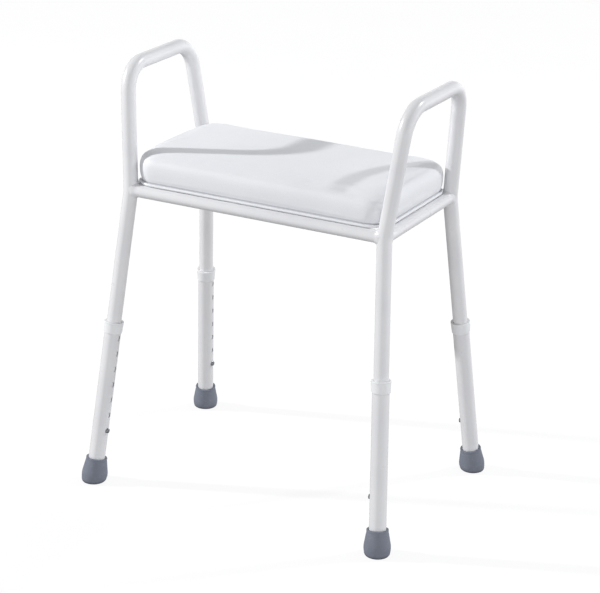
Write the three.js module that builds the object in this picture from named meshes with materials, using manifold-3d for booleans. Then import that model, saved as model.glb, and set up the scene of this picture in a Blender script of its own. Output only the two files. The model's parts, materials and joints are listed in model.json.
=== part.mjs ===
// Height-adjustable shower stool with two armrest hoops and a padded seat.
// Millimetres, +Z up. The origin is on the floor under the middle of the seat,
// X runs along the width, and the front of the stool faces -Y.

import * as THREE from 'three';
import { mergeVertices } from 'three/addons/utils/BufferGeometryUtils.js';
import Module from 'manifold-3d';

const wasm = await Module();
wasm.setup();

// ---------------------------------------------------------------- dimensions

const GAP = 0.3; // clearance between pieces that touch

// Frame: the corner posts bend at rail height and meet in the armrest hoops.
const RAIL_HEIGHT = 463.4;
const POST_AT_RAIL = { x: 211.2, y: 111.1 };
const POST_AT_FLOOR = { x: 245.6, y: 170 };
const HOOP_CORNER = { x: 230, y: 88, z: 645.5 };
const HOOP_BEND = { radius: 43, steps: 7 };
const POST_BEND = { radius: 70, steps: 2 };
const POST_TUBE = { od: 22.2, wall: 1.2 };
const RAIL_TUBE = { od: 19, wall: 1.2 };

// Lower legs slide on the posts and lock on a row of holes.
const LEG_TUBE = { od: 25.4, wall: 1.2 };
const LEG_END_HEIGHT = 10;
const LEG_TOP_HEIGHT = 256.5;
const HOLE_RADIUS = 4;
const HOLE_PITCH = 25;
const HOLE_COUNT = 7;
const LOWEST_HOLE_HEIGHT = 85;
const POST_BELOW_BUTTON = 25;

// Plastic collar on the top end of each lower leg.
const COLLAR = { bottom: 241, top: 258.4, rTop: 15, rBottom: 14.2, chamfer: 1.2, topChamfer: 0.8 };

// Rubber tip with a steel washer inside.
const TIP = { height: 40, rBase: 20.4, rNeck: 16.6, rTop: 15.9, rim: 4, neck: 3, upright: 4, belowFloor: 8 };
const WASHER = { r: 11.6, thickness: 1.5, bore: 3.2 };

// Snap button and its leaf spring, inside the post.
const BUTTON = { r: 3.7, reach: 15.2, domeRise: 2.2, flangeR: 4.6, flangeIn: 6.9, flangeOut: 7.9 };
const SPRING = {
  thickness: 0.7,
  width: 7,
  armIn: 6.2,
  armBack: -8.3,
  below: 8,
  above: 42,
  knee: 5.6,
  bend: 2.5,
};

// Seat.
const SEAT = { x: 210.4, y: 114.2, corner: 35, bottom: 473.3, top: 522 };
const SEAT_BASE_INSET = 5.2;
const PAD_BOTTOM = 480.5;
const PAD_ROUND = { down: 12, in: 10 };
const COVER_THICKNESS = 1.2;
const BOARD_THICKNESS = 9;
const PIPING_RADIUS = 2.3;
const PIPING_HEIGHT = 475.7;

// Tabs welded to the rails carry the seat board, two screws in each.
const TAB = { length: 46, thickness: 2.5, reach: 34, x: 140, holeSpacing: 26, holeInset: 9 };
const SCREW = { r: 2, headR: 4.2, headFaceR: 2.94, headHeight: 2.6, headEdge: 1.3, length: 7 };

const ROUND_SIDES = 16;
const SMALL_SIDES = 12;
const CORD_SIDES = 8;
const PLAN_SEGMENTS = 3;
const BLOCK = 1000;

// ------------------------------------------------------------------ materials

const COATED = { color: 0xf1f1f3, roughness: 0.32, metalness: 0.1 };
const COLLAR_PLASTIC = { color: 0xf7f7f8, roughness: 0.45, metalness: 0 };
const RUBBER = { color: 0x6e7686, roughness: 0.75, metalness: 0 };
const STEEL = { color: 0xb9bcc0, roughness: 0.3, metalness: 0.9 };
const SPRING_STEEL = { color: 0x6f7276, roughness: 0.35, metalness: 0.9 };
const VINYL = { color: 0xeceef1, roughness: 0.5, metalness: 0 };
const FOAM = { color: 0xe8dfc0, roughness: 0.95, metalness: 0 };
const PLYWOOD = { color: 0xb98a56, roughness: 0.8, metalness: 0 };

// -------------------------------------------------------------------- helpers

const vec = (x, y, z) => new THREE.Vector3(x, y, z);

function solidOf(geometry) {
  const bare = geometry.clone();
  bare.deleteAttribute('normal');
  bare.deleteAttribute('uv');
  const merged = mergeVertices(bare, 1e-4);
  return new wasm.Manifold(new wasm.Mesh({
    numProp: 3,
    vertProperties: new Float32Array(merged.attributes.position.array),
    triVerts: new Uint32Array(merged.index.array),
  }));
}

function geometryOf(solid) {
  const mesh = solid.getMesh();
  const geometry = new THREE.BufferGeometry();
  geometry.setAttribute('position', new THREE.BufferAttribute(mesh.vertProperties, 3));
  geometry.setIndex(new THREE.BufferAttribute(mesh.triVerts, 1));
  geometry.computeVertexNormals();
  return geometry;
}

// Cuts every geometry in the list from the first one.
function cut(geometry, cutters) {
  return geometryOf(cutters.reduce((rest, cutter) => rest.subtract(solidOf(cutter)), solidOf(geometry)));
}

// A centreline of straight runs joined by arcs. Only its stations are sampled,
// so the straight runs cost no extra faces.
class BentLine extends THREE.Curve {
  constructor(corners, bends) {
    super();
    this.stations = [];
    const last = corners.length - 1;
    corners.forEach((corner, i) => {
      if (i === 0 || i === last) {
        const from = corners[i === 0 ? 0 : last - 1];
        const to = corners[i === 0 ? 1 : last];
        this.stations.push({ point: corner.clone(), tangent: to.clone().sub(from).normalize() });
        return;
      }
      this.addArc(corners[i - 1], corner, corners[i + 1], bends[i - 1]);
    });
  }

  addArc(before, corner, after, { radius, steps }) {
    const into = corner.clone().sub(before).normalize();
    const out = after.clone().sub(corner).normalize();
    const turn = into.angleTo(out);
    const start = corner.clone().addScaledVector(into, -radius * Math.tan(turn / 2));
    const towardCentre = out.clone().addScaledVector(into, -out.dot(into)).normalize();
    for (let step = 0; step <= steps; step++) {
      const angle = turn * step / steps;
      const point = start.clone()
        .addScaledVector(into, radius * Math.sin(angle))
        .addScaledVector(towardCentre, radius * (1 - Math.cos(angle)));
      const tangent = into.clone().multiplyScalar(Math.cos(angle))
        .addScaledVector(towardCentre, Math.sin(angle));
      this.stations.push({ point, tangent });
    }
  }

  get steps() {
    return this.stations.length - 1;
  }

  getPointAt(u) {
    return this.stations[Math.round(u * this.steps)].point.clone();
  }

  getTangentAt(u) {
    return this.stations[Math.round(u * this.steps)].tangent.clone();
  }
}

function circle(radius, holeRadius = 0) {
  const shape = new THREE.Shape().absarc(0, 0, radius, 0, 2 * Math.PI);
  if (holeRadius > 0) {
    shape.holes.push(new THREE.Path().absarc(0, 0, holeRadius, 0, 2 * Math.PI, true));
  }
  return shape;
}

function sweep(shape, line, sides = ROUND_SIDES) {
  return new THREE.ExtrudeGeometry(shape, {
    extrudePath: line,
    steps: line.steps,
    curveSegments: sides / 2,
    bevelEnabled: false,
  });
}

const straight = (from, to) => new BentLine([from, to], []);
const tubeRing = ({ od, wall }) => circle(od / 2, od / 2 - wall);
const rod = (radius, from, to, sides) => sweep(circle(radius), straight(from, to), sides);

// A block that takes away whatever lies under a height.
const allBelow = (z) => new THREE.BoxGeometry(BLOCK, BLOCK, BLOCK).translate(0, 0, z - BLOCK / 2);

// A lathe solid whose axis starts at a point and runs along a direction.
// The profile lists [radius, distance along the axis].
function turned(profile, start, direction, sides = ROUND_SIDES) {
  const points = profile.map(([radius, along]) => new THREE.Vector2(radius, along));
  const geometry = new THREE.LatheGeometry(points, sides);
  geometry.applyQuaternion(new THREE.Quaternion().setFromUnitVectors(vec(0, 1, 0), direction));
  return geometry.translate(start.x, start.y, start.z);
}

const ringProfile = (points) => [...points, points[0]];

function roundedRectangle(halfX, halfY, radius) {
  const shape = new THREE.Shape();
  const [x, y] = [halfX - radius, halfY - radius];
  shape.absarc(x, y, radius, 0, Math.PI / 2);
  shape.absarc(-x, y, radius, Math.PI / 2, Math.PI);
  shape.absarc(-x, -y, radius, Math.PI, 1.5 * Math.PI);
  shape.absarc(x, -y, radius, 1.5 * Math.PI, 2 * Math.PI);
  return shape;
}

function slab(halfX, halfY, radius, bottom, top) {
  const depth = top - bottom;
  const shape = roundedRectangle(halfX, halfY, radius);
  const options = { depth, curveSegments: PLAN_SEGMENTS, bevelEnabled: false };
  const geometry = new THREE.ExtrudeGeometry(shape, options);
  return geometry.translate(0, 0, bottom);
}

// -------------------------------------------------------------- stool assembly

const stool = new THREE.Group();
stool.name = 'shower_stool';

function add(name, geometry, look) {
  const mesh = new THREE.Mesh(geometry, new THREE.MeshStandardMaterial(look));
  mesh.name = name;
  stool.add(mesh);
}

const CORNERS = [
  { name: 'fl', x: -1, y: -1 },
  { name: 'fr', x: 1, y: -1 },
  { name: 'bl', x: -1, y: 1 },
  { name: 'br', x: 1, y: 1 },
];

// Points and directions of one corner: the axis that its post and leg share
// below the rail, and the side on which the holes and the button face inward.
function cornerLines({ x, y }) {
  const bend = vec(x * POST_AT_RAIL.x, y * POST_AT_RAIL.y, RAIL_HEIGHT);
  const floor = vec(x * POST_AT_FLOOR.x, y * POST_AT_FLOOR.y, 0);
  const down = floor.clone().sub(bend).normalize();
  const inward = vec(-x, 0, 0);
  inward.addScaledVector(down, -inward.dot(down)).normalize();
  const atHeight = (z) => bend.clone().addScaledVector(down, (z - RAIL_HEIGHT) / down.z);
  const button = atHeight(LOWEST_HOLE_HEIGHT);
  const postEnd = button.clone().addScaledVector(down, POST_BELOW_BUTTON);
  return { bend, down, up: down.clone().negate(), inward, atHeight, button, postEnd };
}

const lines = Object.fromEntries(CORNERS.map((corner) => [corner.name, cornerLines(corner)]));

function hoopLine(side) {
  const [front, back] = side < 0 ? [lines.fl, lines.bl] : [lines.fr, lines.br];
  const topFront = vec(side * HOOP_CORNER.x, -HOOP_CORNER.y, HOOP_CORNER.z);
  const topBack = vec(side * HOOP_CORNER.x, HOOP_CORNER.y, HOOP_CORNER.z);
  return new BentLine(
    [front.postEnd, front.bend, topFront, topBack, back.bend, back.postEnd],
    [POST_BEND, HOOP_BEND, HOOP_BEND, POST_BEND],
  );
}

function addHoops() {
  for (const [name, side] of [['hoop_left', -1], ['hoop_right', 1]]) {
    const holes = CORNERS.filter((corner) => corner.x === side).map(({ name: corner }) => {
      const { button, inward } = lines[corner];
      return rod(HOLE_RADIUS, button, button.clone().addScaledVector(inward, POST_TUBE.od), SMALL_SIDES);
    });
    add(name, cut(sweep(tubeRing(POST_TUBE), hoopLine(side)), holes), COATED);
  }
}

// Each rail is coped to the posts, and the side rails to the long rails as well.
function addRails() {
  const posts = [-1, 1].map((side) => sweep(circle(POST_TUBE.od / 2 + GAP), hoopLine(side)));
  const rail = (from, to) => straight(lines[from].bend, lines[to].bend);
  const longRails = { front_rail: rail('fl', 'fr'), back_rail: rail('bl', 'br') };
  const sideRails = { left_rail: rail('fl', 'bl'), right_rail: rail('fr', 'br') };
  for (const [name, line] of Object.entries(longRails)) {
    add(name, cut(sweep(tubeRing(RAIL_TUBE), line), posts), COATED);
  }
  const longRailCutters = Object.values(longRails).map((line) => sweep(circle(RAIL_TUBE.od / 2 + GAP), line));
  for (const [name, line] of Object.entries(sideRails)) {
    add(name, cut(sweep(tubeRing(RAIL_TUBE), line), [...posts, ...longRailCutters]), COATED);
  }
}

function addLeg(name) {
  const { button, up, inward, atHeight } = lines[name];
  const tube = sweep(tubeRing(LEG_TUBE), straight(atHeight(LEG_END_HEIGHT), atHeight(LEG_TOP_HEIGHT)));
  const holes = Array.from({ length: HOLE_COUNT }, (_, i) => {
    const centre = button.clone().addScaledVector(up, i * HOLE_PITCH);
    return rod(HOLE_RADIUS, centre, centre.clone().addScaledVector(inward, LEG_TUBE.od), SMALL_SIDES);
  });
  add(`lower_leg_${name}`, cut(tube, holes), COATED);
}

function addCollar(name) {
  const { up, atHeight } = lines[name];
  const height = (COLLAR.top - COLLAR.bottom) / up.z;
  const lipBottom = (LEG_TOP_HEIGHT - COLLAR.bottom) / up.z + GAP;
  const onLeg = LEG_TUBE.od / 2 + GAP;
  const onPost = POST_TUBE.od / 2 + GAP;
  const profile = ringProfile([
    [onLeg, 0],
    [COLLAR.rBottom - COLLAR.chamfer / 2, 0],
    [COLLAR.rBottom, COLLAR.chamfer],
    [COLLAR.rTop, height - COLLAR.topChamfer],
    [COLLAR.rTop - COLLAR.topChamfer, height],
    [onPost, height],
    [onPost, lipBottom],
    [onLeg, lipBottom],
  ]);
  add(`leg_collar_${name}`, turned(profile, atHeight(COLLAR.bottom), up), COLLAR_PLASTIC);
}

// The tip follows the leg's slope and is cut flat where it stands on the floor.
function addFootTip(name) {
  const { up, atHeight } = lines[name];
  const start = atHeight(0).addScaledVector(up, -TIP.belowFloor);
  const top = TIP.height / up.z + TIP.belowFloor;
  const socket = LEG_END_HEIGHT / up.z + TIP.belowFloor - WASHER.thickness - 2 * GAP;
  const bore = LEG_TUBE.od / 2 + GAP;
  const body = turned([
    [0, 0],
    [TIP.rBase, 0],
    [TIP.rBase, TIP.belowFloor + TIP.upright],
    [TIP.rNeck, top - TIP.rim - TIP.neck],
    [TIP.rNeck, top - TIP.rim],
    [TIP.rTop, top],
    [bore, top],
    [bore, socket],
    [0, socket],
  ], start, up);
  add(`foot_tip_${name}`, cut(body, [allBelow(0)]), RUBBER);
}

function addWasher(name) {
  const { up, atHeight } = lines[name];
  const start = atHeight(LEG_END_HEIGHT).addScaledVector(up, -WASHER.thickness - GAP);
  const profile = ringProfile([
    [WASHER.bore, 0],
    [WASHER.r, 0],
    [WASHER.r, WASHER.thickness],
    [WASHER.bore, WASHER.thickness],
  ]);
  add(`foot_washer_${name}`, turned(profile, start, up), STEEL);
}

// A domed pin on a flange that bears against the inside of the post.
function addSnapButton(name) {
  const { button, inward } = lines[name];
  const domeStart = BUTTON.reach - BUTTON.domeRise;
  const dome = [30, 60].map((degrees) => {
    const angle = THREE.MathUtils.degToRad(degrees);
    return [BUTTON.r * Math.cos(angle), domeStart + BUTTON.domeRise * Math.sin(angle)];
  });
  const profile = [
    [0, BUTTON.flangeIn],
    [BUTTON.flangeR, BUTTON.flangeIn],
    [BUTTON.flangeR, BUTTON.flangeOut],
    [BUTTON.r, BUTTON.flangeOut],
    [BUTTON.r, domeStart],
    ...dome,
    [0, BUTTON.reach],
  ];
  add(`snap_button_${name}`, turned(profile, button, inward, SMALL_SIDES), STEEL);
}

// A strip bent into a narrow V: one arm behind the button, one on the far wall.
function addButtonSpring(name) {
  const { button, up, inward } = lines[name];
  const across = inward.clone().cross(up).normalize();
  const centreline = new THREE.CurvePath();
  const front = new THREE.Vector2(SPRING.armIn, -SPRING.below);
  const frontKnee = new THREE.Vector2(SPRING.armIn, SPRING.knee);
  const middle = (SPRING.armIn + SPRING.armBack) / 2;
  const frontTop = new THREE.Vector2(middle + SPRING.bend, SPRING.above - SPRING.bend);
  const backTop = new THREE.Vector2(middle - SPRING.bend, SPRING.above - SPRING.bend);
  const backKnee = new THREE.Vector2(SPRING.armBack, SPRING.knee);
  const back = new THREE.Vector2(SPRING.armBack, -SPRING.below);
  centreline.add(new THREE.LineCurve(front, frontKnee));
  centreline.add(new THREE.LineCurve(frontKnee, frontTop));
  centreline.add(new THREE.EllipseCurve(middle, frontTop.y, SPRING.bend, SPRING.bend, 0, Math.PI));
  centreline.add(new THREE.LineCurve(backTop, backKnee));
  centreline.add(new THREE.LineCurve(backKnee, back));
  const points = centreline.getPoints(3);
  const normals = points.map((point, i) => {
    const before = points[Math.max(i - 1, 0)];
    const after = points[Math.min(i + 1, points.length - 1)];
    const run = after.clone().sub(before).normalize();
    return new THREE.Vector2(-run.y, run.x).multiplyScalar(SPRING.thickness / 2);
  });
  const outer = points.map((point, i) => point.clone().sub(normals[i]));
  const inner = points.map((point, i) => point.clone().add(normals[i])).reverse();
  const strip = new THREE.ExtrudeGeometry(new THREE.Shape([...outer, ...inner]), {
    depth: SPRING.width,
    bevelEnabled: false,
  });
  strip.translate(0, 0, -SPRING.width / 2);
  strip.applyMatrix4(new THREE.Matrix4().makeBasis(inward, up, across));
  add(`button_spring_${name}`, strip.translate(button.x, button.y, button.z), SPRING_STEEL);
}

// The outer form of the pad and its cover, shrunk by an inset on every side.
function padSolid(inset) {
  const drawnIn = PAD_ROUND.in + inset;
  const shape = roundedRectangle(SEAT.x - drawnIn, SEAT.y - drawnIn, SEAT.corner - drawnIn);
  const pad = new THREE.ExtrudeGeometry(shape, {
    depth: SEAT.top - PAD_BOTTOM - 2 * PAD_ROUND.down - 2 * inset,
    curveSegments: PLAN_SEGMENTS,
    bevelThickness: PAD_ROUND.down,
    bevelSize: PAD_ROUND.in,
    bevelSegments: 3,
  });
  return pad.translate(0, 0, PAD_BOTTOM + PAD_ROUND.down + inset);
}

function seatBase(inset, bottom, top) {
  const drawnIn = SEAT_BASE_INSET + inset;
  return slab(SEAT.x - drawnIn, SEAT.y - drawnIn, SEAT.corner - drawnIn, bottom, top);
}

const padMiddle = (PAD_BOTTOM + SEAT.top) / 2;
const boardTop = SEAT.bottom + BOARD_THICKNESS;

function addCover() {
  const outside = solidOf(padSolid(0)).add(solidOf(seatBase(0, SEAT.bottom, padMiddle)));
  const insidePad = solidOf(padSolid(COVER_THICKNESS));
  const insideBase = solidOf(seatBase(COVER_THICKNESS, SEAT.bottom - 1, padMiddle));
  add('seat_cover', geometryOf(outside.subtract(insidePad.add(insideBase))), VINYL);
}

function addFoam() {
  const inset = COVER_THICKNESS + GAP;
  const bulk = solidOf(padSolid(inset)).add(solidOf(seatBase(inset, boardTop, padMiddle)));
  add('seat_foam', geometryOf(bulk.subtract(solidOf(allBelow(boardTop + GAP)))), FOAM);
}

// The welt is laid round the pad's foot and butts together in the middle of the back.
function addPiping() {
  const offset = SEAT_BASE_INSET - PIPING_RADIUS - GAP;
  const [x, y] = [SEAT.x - offset, SEAT.y - offset];
  const radius = SEAT.corner - offset;
  const at = (px, py) => vec(px, py, PIPING_HEIGHT);
  const route = [at(-GAP, y), at(-x, y), at(-x, -y), at(x, -y), at(x, y), at(GAP, y)];
  const line = new BentLine(route, Array(4).fill({ radius, steps: 2 * PLAN_SEGMENTS }));
  add('seat_piping', sweep(circle(PIPING_RADIUS), line, CORD_SIDES), VINYL);
}

function tabHoles({ x, y }) {
  return [-1, 1].map((side) => vec(
    x * TAB.x + side * TAB.holeSpacing / 2,
    y * (POST_AT_RAIL.y - TAB.reach + TAB.holeInset),
    SEAT.bottom - GAP,
  ));
}

function addBoardAndTabs() {
  const screwHoles = [];
  for (const corner of CORNERS) {
    const tabTop = SEAT.bottom - GAP;
    const tab = new THREE.BoxGeometry(TAB.length, TAB.reach, TAB.thickness).translate(
      corner.x * TAB.x,
      corner.y * (POST_AT_RAIL.y - TAB.reach / 2),
      tabTop - TAB.thickness / 2,
    );
    const rail = rod(
      RAIL_TUBE.od / 2 + GAP,
      vec(corner.x * TAB.x - TAB.length, corner.y * POST_AT_RAIL.y, RAIL_HEIGHT),
      vec(corner.x * TAB.x + TAB.length, corner.y * POST_AT_RAIL.y, RAIL_HEIGHT),
      ROUND_SIDES,
    );
    const holes = tabHoles(corner).map((top) => rod(
      SCREW.r + GAP,
      top.clone().setZ(top.z - 2 * TAB.thickness),
      top.clone().setZ(SEAT.bottom + SCREW.length + GAP),
      SMALL_SIDES,
    ));
    screwHoles.push(...holes);
    add(`seat_tab_${corner.name}`, cut(tab, [rail, ...holes]), COATED);
  }
  const board = seatBase(COVER_THICKNESS + GAP, SEAT.bottom, boardTop);
  add('seat_board', cut(board, screwHoles), PLYWOOD);
}

function addScrews() {
  const up = vec(0, 0, 1);
  for (const corner of CORNERS) {
    tabHoles(corner).forEach((top, i) => {
      const under = TAB.thickness + GAP + SCREW.headHeight;
      const tip = under + SCREW.length + GAP - SCREW.r;
      const profile = [
        [0, 0],
        [SCREW.headFaceR, 0],
        [SCREW.headR, SCREW.headEdge],
        [SCREW.headR, SCREW.headHeight],
        [SCREW.r, SCREW.headHeight],
        [SCREW.r, tip],
        [0, tip + SCREW.r - GAP],
      ];
      const start = top.clone().setZ(top.z - under);
      add(`tab_screw_${corner.name}_${i + 1}`, turned(profile, start, up, SMALL_SIDES), STEEL);
    });
  }
}

addHoops();
addRails();
for (const { name } of CORNERS) {
  addLeg(name);
  addCollar(name);
  addFootTip(name);
  addWasher(name);
  addSnapButton(name);
  addButtonSpring(name);
}
addCover();
addFoam();
addPiping();
addBoardAndTabs();
addScrews();

export default stool;
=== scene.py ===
"""Shower stool with armrest hoops: the visual model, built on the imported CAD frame.

Metres, +Z up, the front faces -Y. Every piece stands for the CAD node whose name it starts with.
"""
import json
import math

import bmesh
import bpy
import numpy as np
from mathutils import Matrix, Vector, noise

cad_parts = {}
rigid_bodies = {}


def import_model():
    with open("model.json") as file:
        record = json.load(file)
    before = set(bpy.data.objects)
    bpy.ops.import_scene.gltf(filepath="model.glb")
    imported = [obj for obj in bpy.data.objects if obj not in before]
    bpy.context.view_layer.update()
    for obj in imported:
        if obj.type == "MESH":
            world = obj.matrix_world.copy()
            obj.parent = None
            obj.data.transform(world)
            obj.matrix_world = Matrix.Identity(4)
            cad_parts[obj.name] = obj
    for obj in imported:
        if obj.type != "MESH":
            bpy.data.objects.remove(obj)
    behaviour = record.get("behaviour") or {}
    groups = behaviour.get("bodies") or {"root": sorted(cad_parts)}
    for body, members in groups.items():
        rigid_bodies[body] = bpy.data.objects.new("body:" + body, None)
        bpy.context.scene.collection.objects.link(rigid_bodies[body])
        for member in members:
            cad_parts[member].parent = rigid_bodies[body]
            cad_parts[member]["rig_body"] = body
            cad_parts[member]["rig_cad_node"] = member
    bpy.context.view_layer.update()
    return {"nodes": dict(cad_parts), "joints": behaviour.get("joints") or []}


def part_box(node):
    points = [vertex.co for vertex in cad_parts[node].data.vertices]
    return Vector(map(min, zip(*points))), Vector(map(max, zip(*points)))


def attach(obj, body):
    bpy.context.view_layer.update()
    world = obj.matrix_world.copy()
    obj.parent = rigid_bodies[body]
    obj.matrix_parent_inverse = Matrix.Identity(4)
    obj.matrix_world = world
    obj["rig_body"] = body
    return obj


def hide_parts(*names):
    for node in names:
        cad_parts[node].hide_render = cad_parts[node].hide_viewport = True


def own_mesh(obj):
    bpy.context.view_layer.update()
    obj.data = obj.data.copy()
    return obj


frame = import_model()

MM = 0.001

# ---- dimensions

POST_RADIUS = 11.1 * MM
LEG_RADIUS = 12.7 * MM
RAIL_RADIUS = 9.5 * MM
TUBE_WALL = 1.2 * MM
HOLE_RADIUS = 4 * MM
HOLE_PITCH = 25 * MM
HOLE_COUNT = 7
HOLE_EDGE = 0.45 * MM  # rounding that the coating gives a drilled edge

HOOP_TOP_X = 230 * MM
HOOP_CORNER_Y = 88 * MM
HOOP_BEND_RADIUS = 43 * MM
POST_BEND_RADIUS = 70 * MM

CORNER_SHARE = 0.48  # of a profile's side, the most that the rounding of one corner takes

COLLAR = {"top": 15 * MM, "bottom": 14.2 * MM, "lip": 2.4 * MM}
TIP = {
    "wide": 20.4 * MM, "foot": 19.0 * MM, "neck": 16.2 * MM, "mouth": 13.6 * MM,
    "groove": 1.3 * MM, "upright": 16 * MM,
}
BUTTON = {
    "pin": 3.7 * MM, "reach": 15.2 * MM,
    "flange": 4.6 * MM, "flange_in": 6.9 * MM, "flange_out": 7.9 * MM,
}
SPRING = {"front": 6.55 * MM, "back": -8.65 * MM, "edge": 0.12 * MM}
WASHER = {"bore": 3.2 * MM, "rim": 11.6 * MM}
TAB = {"edge": 0.25 * MM, "presses": 8 * MM}
WELD = {"radius": 1.9 * MM, "steps": 56, "end": 3 * MM, "from_post": 7.6 * MM, "above_foot": 0.3 * MM}

PIPING_RADIUS = 2.3 * MM
BASE_INSET = 5.2 * MM  # the pad's foot is drawn in behind the piping
VINYL = 1.1 * MM
FLAP = {
    "width": 20 * MM, "thick": 0.75 * MM, "fold": 0.9 * MM, "uneven": 1.2 * MM,
    "per_corner": 36, "pleat": 4.5,
}
STAPLE = {
    "width": 10 * MM, "leg": 1.6 * MM, "bend": 0.7 * MM, "wire": 0.6 * MM,
    "pitch": 27 * MM, "inset": 12 * MM, "drop": 1.0 * MM,
}
SCREW = {
    "head": 4.2 * MM, "height": 2.6 * MM, "shank": 2.0 * MM, "root": 2.0 * MM * 0.74, "pitch": 0.9 * MM,
}

TUBE_SIDES = 48
TUBE_STEPS = (30 * MM, 3 * MM)  # between rings of the mesh, on straight runs and round bends
TUBE_END_ROUND = 0.3 * MM
PATCH_CELLS = 4  # mesh cells from a hole's centre to the edge of its patch
ON_AXIS = 1e-7  # a smaller radius closes to a point

UP = Vector((0, 0, 1))
RIGHT = Vector((1, 0, 0))

# ---- places in the frame

CORNERS = {"fl": (-1, -1), "fr": (1, -1), "bl": (-1, 1), "br": (1, 1)}


def middle(node):
    low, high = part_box(node)
    return (Vector(low) + Vector(high)) / 2


RAIL_Z = middle("front_rail").z
POST_X = middle("right_rail").x
POST_Y = middle("back_rail").y
HOOP_TOP_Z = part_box("hoop_right")[1][2] - POST_RADIUS
SEAM_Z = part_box("seat_piping")[1][2] + 1.0 * MM  # where the cover is sewn to its piping

SLIDES = {joint["name"]: Vector(joint["axis"]) for joint in frame["joints"]}


class Corner:
    """The line that a post and its lower leg share, and the side that its holes face."""

    def __init__(self, name):
        x, y = CORNERS[name]
        self.name = name
        self.bend = Vector((x * POST_X, y * POST_Y, RAIL_Z))
        self.down = SLIDES[f"leg_{name}_height"].normalized()
        self.up = -self.down
        self.inward = -SLIDES[f"button_{name}_press"].normalized()
        self.hoop = "hoop_left" if x < 0 else "hoop_right"
        self.leg = f"leg_{name}"

    def at(self, distance):
        """The point that far below the rail, on the axis."""
        return self.bend + self.down * distance

    def span(self, node):
        """How far below the rail a node starts and ends, measured along the axis."""
        reach = [(v.co - self.bend).dot(self.down) for v in frame["nodes"][node].data.vertices]
        return min(reach), max(reach)


LEGS = {name: Corner(name) for name in CORNERS}


def button_distance(corner):
    start, end = corner.span(f"snap_button_{corner.name}")
    return (start + end) / 2


# ---- mesh building


class Build:
    """Collects vertices and faces, then turns them into one smooth object."""

    def __init__(self):
        self.points = []
        self.faces = []

    def add(self, point):
        self.points.append(tuple(point))
        return len(self.points) - 1

    def loop(self, points):
        return [self.add(point) for point in points]

    def strip(self, first, second, left_out=()):
        for k in range(len(first)):
            if k not in left_out:
                after = (k + 1) % len(first)
                self.faces.append((first[k], first[after], second[after], second[k]))

    def loft(self, loops, caps=True):
        """Joins loops of equal length in turn. A loop of one vertex closes to a point."""
        for first, second in zip(loops, loops[1:]):
            if len(first) == 1 or len(second) == 1:
                self.fan(first, second)
            else:
                self.strip(first, second)
        for end in (loops[0], loops[-1]):
            if caps and len(end) > 2:
                self.faces.append(tuple(end))

    def fan(self, first, second):
        tip, ring = (first[0], second) if len(first) == 1 else (second[0], first)
        for k, vertex in enumerate(ring):
            self.faces.append((tip, vertex, ring[(k + 1) % len(ring)]))

    def object(self, name, look, sharp=38):
        mesh = bpy.data.meshes.new(name)
        mesh.from_pydata(self.points, [], self.faces)
        piece = new_object(name, mesh)
        tidy_mesh(mesh, sharp)
        mesh.materials.append(look)
        return piece


def new_object(name, data):
    made = bpy.data.objects.new(name, data)
    bpy.context.scene.collection.objects.link(made)
    return made


def tidy_mesh(mesh, sharp):
    """Faces point out and shade smoothly, except across edges sharper than the angle."""
    work = bmesh.new()
    work.from_mesh(mesh)
    bmesh.ops.recalc_face_normals(work, faces=work.faces)
    limit = math.radians(sharp)
    for face in work.faces:
        face.smooth = True
    for edge in work.edges:
        edge.smooth = len(edge.link_faces) != 2 or edge.calc_face_angle() < limit
    work.to_mesh(mesh)
    work.free()


def softened(points, radius, steps=4, closed=False):
    """The outline with rounded corners. A point's third value replaces the radius there."""
    result = []
    last = len(points) - 1
    for i, point in enumerate(points):
        here = Vector(point[:2])
        if not closed and i in (0, last):
            result.append(tuple(here))
            continue
        before = Vector(points[i - 1][:2]) - here
        after = Vector(points[(i + 1) % len(points)][:2]) - here
        wanted = point[2] if len(point) > 2 else radius
        cut = min(wanted, before.length * CORNER_SHARE, after.length * CORNER_SHARE)
        start = here + before.normalized() * cut
        end = here + after.normalized() * cut
        for step in range(steps + 1):
            u = step / steps
            result.append(tuple(start * (1 - u) ** 2 + here * 2 * u * (1 - u) + end * u ** 2))
    return result


def circle_loop(build, centre, axis, side, radius, sides):
    other = axis.cross(side)
    turns = [2 * math.pi * k / sides for k in range(sides)]
    return build.loop(centre + (side * math.cos(t) + other * math.sin(t)) * radius for t in turns)


def revolve(build, profile, origin, axis, sides=64, closed=False):
    """Turns a profile of (radius, distance along the axis) about the axis."""
    side = axis.orthogonal().normalized()
    loops = []
    for radius, along in profile:
        centre = origin + axis * along
        if radius < ON_AXIS:
            loops.append([build.add(centre)])
        else:
            loops.append(circle_loop(build, centre, axis, side, radius, sides))
    if closed:
        loops.append(loops[0])
    build.loft(loops, caps=False)


def rounded_rectangle(half_x, half_y, radius, z, per_corner):
    points = []
    for quarter, (x, y) in enumerate(((1, 1), (-1, 1), (-1, -1), (1, -1))):
        centre = Vector((x * (half_x - radius), y * (half_y - radius), z))
        for k in range(per_corner + 1):
            turn = math.pi / 2 * (quarter + k / per_corner)
            points.append(centre + Vector((math.cos(turn), math.sin(turn), 0)) * radius)
    return points


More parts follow.
